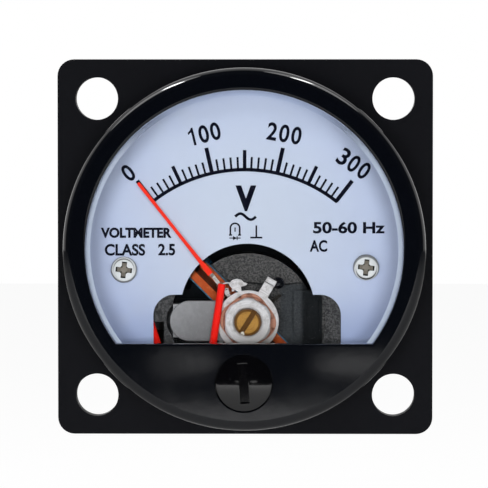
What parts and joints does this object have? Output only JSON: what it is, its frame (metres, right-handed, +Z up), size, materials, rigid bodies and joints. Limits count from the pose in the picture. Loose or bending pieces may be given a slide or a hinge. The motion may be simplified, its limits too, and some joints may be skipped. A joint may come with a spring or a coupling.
{
  "type": "analog panel meter",
  "caption": "Square-flange analog panel voltmeter with a round bezel, a pivoted moving coil, a red pointer, a front zero adjuster and rear screw terminals.",
  "frame": {"origin": "centre of the flange's rear face, which lies on the panel", "axes": "+X right, +Z up, the dial faces -Y and the terminals point towards +Y"},
  "size_m": [0.045, 0.047, 0.045],
  "materials": {
    "case_plastic": "satin moulded",
    "bezel_plastic": "polished",
    "window_glass": "clear",
    "dial_paint": "matt white paint",
    "scale_ink": "matt ink",
    "frame_plastic": "fine texture",
    "soft_iron": "dull",
    "core_alloy": "ground",
    "bridge_metal": "cast satin",
    "brass": "turned",
    "brass_plated": "turned",
    "ruby": "polished",
    "nickel": "bright nickel",
    "bronze": "rolled strip",
    "copper_wire": "enamelled wire",
    "former_aluminium": "thin strip",
    "pointer_paint": "red paint",
    "red_insulation": "soft insulation",
    "board_laminate": "laminate",
    "component_black": "moulded",
    "resistor_coat": "lacquer"
  },
  "bodies": {
    "case": {"rear_case": "case_plastic", "front_bezel": "bezel_plastic", "window": "window_glass", "dial_plate": "dial_paint", "dial_scale": "scale_ink", "dial_screw_left": "nickel", "dial_screw_right": "nickel", "frame_screw_left": "nickel", "frame_screw_right": "nickel", "bridge_screw_left": "nickel", "bridge_screw_right": "nickel", "movement_frame": "frame_plastic", "yoke_ring": "soft_iron", "core_carrier": "frame_plastic", "core_magnet": "core_alloy", "front_bridge": "bridge_metal", "rear_bridge": "bridge_metal", "front_jewel_screw": "brass", "rear_jewel_screw": "brass", "front_jewel": "ruby", "rear_jewel": "ruby", "front_lock_nut": "nickel", "rear_lock_nut": "nickel", "friction_washer": "bronze", "spring_tag": "nickel", "circuit_board": "board_laminate", "rectifier": "component_black", "series_resistor": "resistor_coat", "coil_lead": "red_insulation", "return_lead": "red_insulation", "terminal_stud_left": "brass_plated", "terminal_washer_left": "brass_plated", "clamp_nut_left": "brass_plated", "spring_washer_left": "nickel", "terminal_nut_left": "brass_plated", "terminal_stud_right": "brass_plated", "terminal_washer_right": "brass_plated", "clamp_nut_right": "brass_plated", "spring_washer_right": "nickel", "terminal_nut_right": "brass_plated"},
    "adjuster": {"zero_adjuster": "bezel_plastic", "adjuster_clip": "nickel"},
    "zero_arm": {"zero_lever": "nickel", "stop_bead": "component_black"},
    "moving_coil": {"coil_former": "former_aluminium", "coil_winding": "copper_wire", "front_staff": "nickel", "rear_staff": "nickel", "pointer_arm": "former_aluminium", "pointer": "pointer_paint", "balance_weight_front": "bronze", "balance_weight_tail": "bronze", "front_hairspring": "bronze", "rear_hairspring": "bronze"}
  },
  "joints": [
    {"name": "adjuster_turn", "type": "hinge", "parent": "case", "child": "adjuster", "pos_m": [-0.00005, -0.01, -0.01575], "axis": [0, 1, 0], "range_deg": [-45, 45]},
    {"name": "zero_shift", "type": "hinge", "parent": "case", "child": "zero_arm", "pos_m": [0.00035, -0.0037, -0.00885], "axis": [0, 1, 0], "range_deg": [-3.5, 3.5], "deforming": ["coil_lead", "rear_hairspring"]},
    {"name": "coil_turn", "type": "hinge", "parent": "zero_arm", "child": "moving_coil", "pos_m": [0.00035, -0.002, -0.00885], "axis": [0, 1, 0], "range_deg": [-1.5, 77.5], "stiffness_Nm_per_rad": 0.00002, "deforming": ["front_hairspring"]}
  ],
  "couplings": [
    {"joint": "zero_shift", "follows": "adjuster_turn", "ratio": 0.0735}
  ]
}
